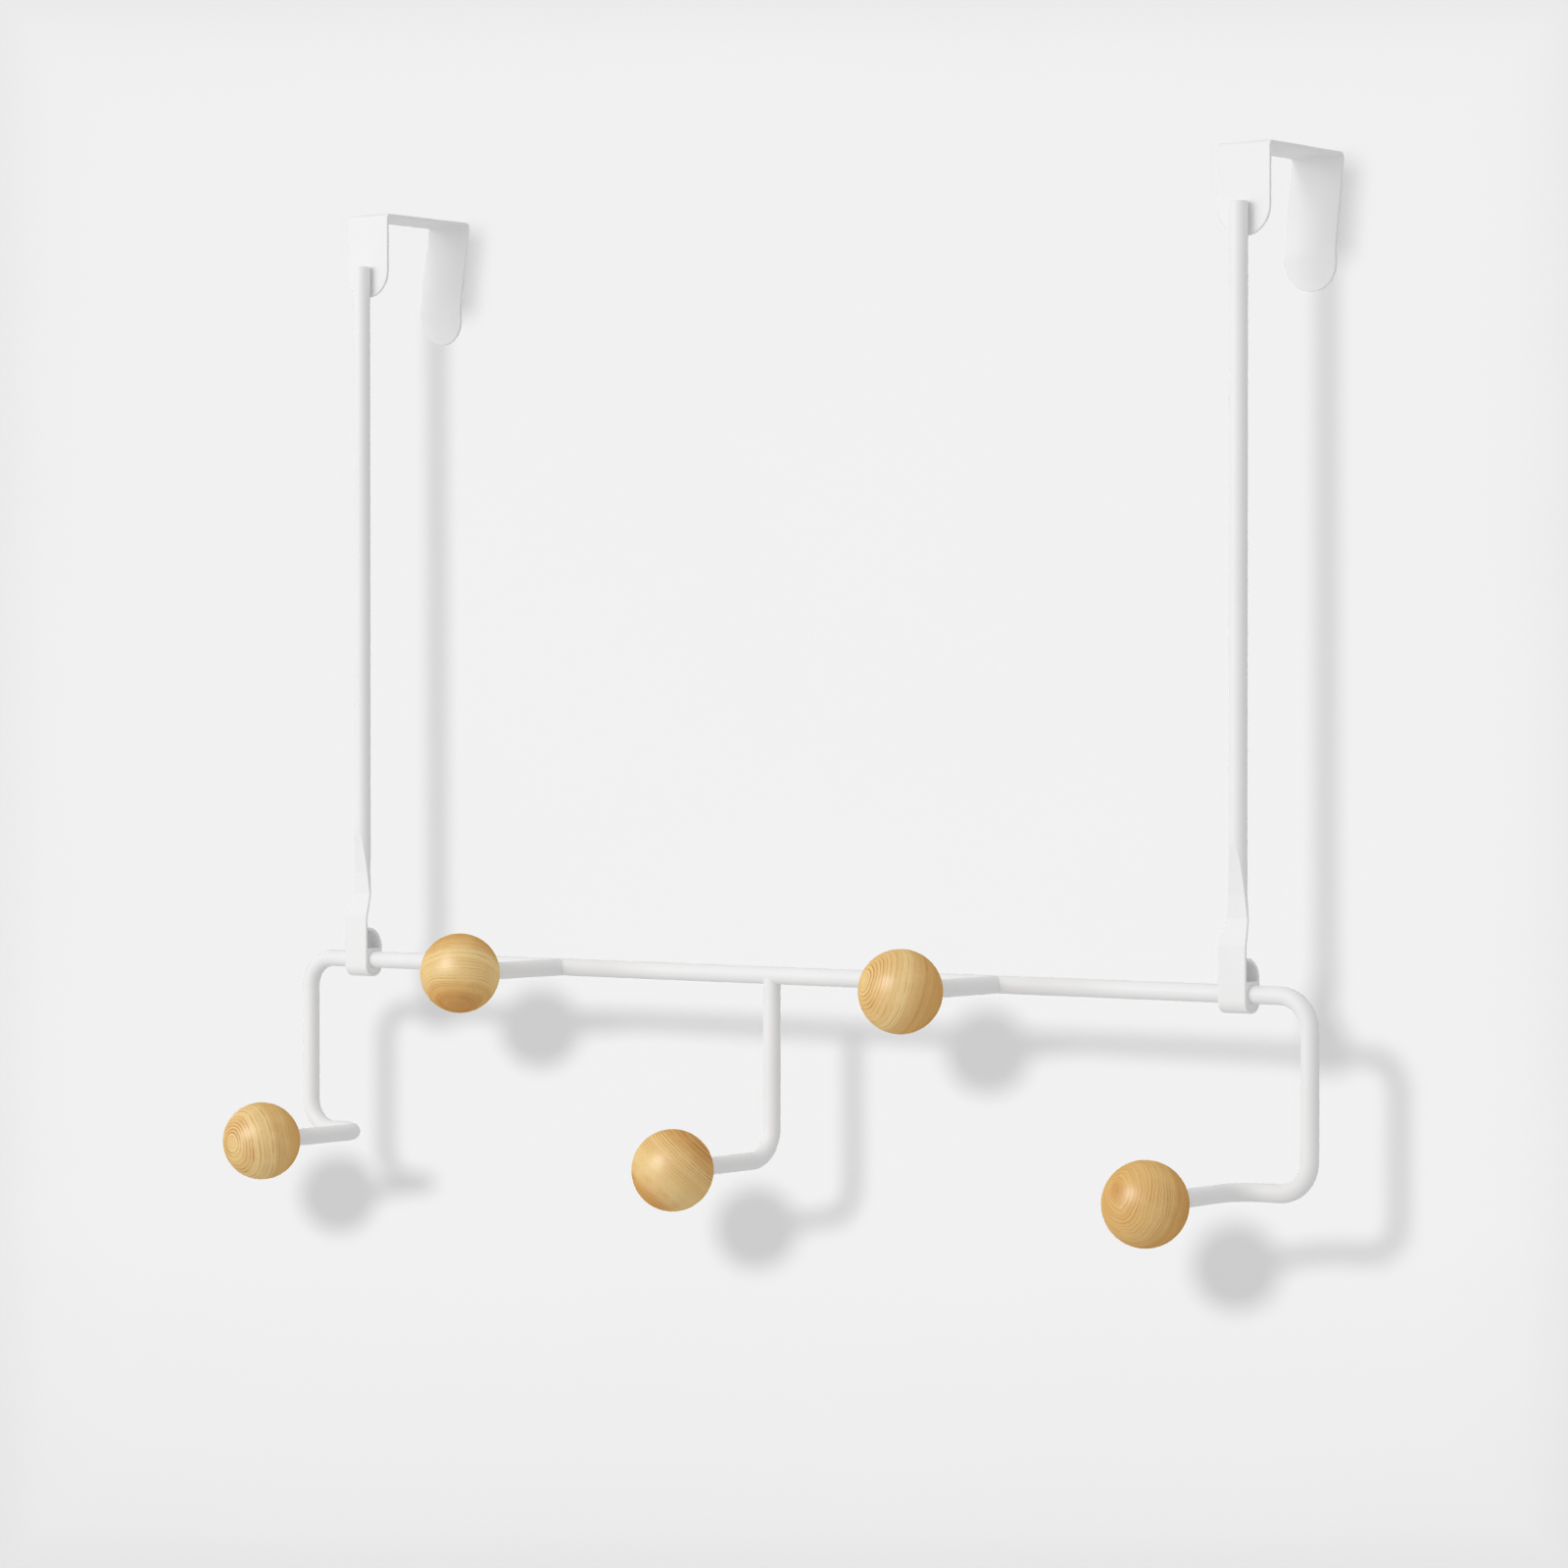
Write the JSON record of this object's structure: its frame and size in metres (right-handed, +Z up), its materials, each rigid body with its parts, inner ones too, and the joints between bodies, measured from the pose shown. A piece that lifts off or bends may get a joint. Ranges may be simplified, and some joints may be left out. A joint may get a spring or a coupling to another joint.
{
  "type": "over door hook",
  "caption": "Rail of bent wire with wood ball hooks, hung by two rods from strip brackets that sit over the top of a door.",
  "frame": {"origin": "on the top front edge of the door, midway between the two brackets", "axes": "+X along the rail to the viewer's right, +Y from the room into the door, +Z up"},
  "size_m": [0.476, 0.1262, 0.3807],
  "materials": {
    "powder_coat": "satin white powder coat",
    "ball_wood": "clear satin"
  },
  "bodies": {
    "root": {"rail": "powder_coat", "middle_hook": "powder_coat", "upper_peg_left": "powder_coat", "upper_peg_right": "powder_coat", "ball_lower_left": "ball_wood", "ball_upper_left": "ball_wood", "ball_lower_middle": "ball_wood", "ball_upper_right": "ball_wood", "ball_lower_right": "ball_wood", "bracket_left": "powder_coat", "bracket_right": "powder_coat", "hanger_left": "powder_coat", "hanger_right": "powder_coat", "eye_weld_left": "powder_coat", "eye_weld_right": "powder_coat"}
  },
  "joints": []
}
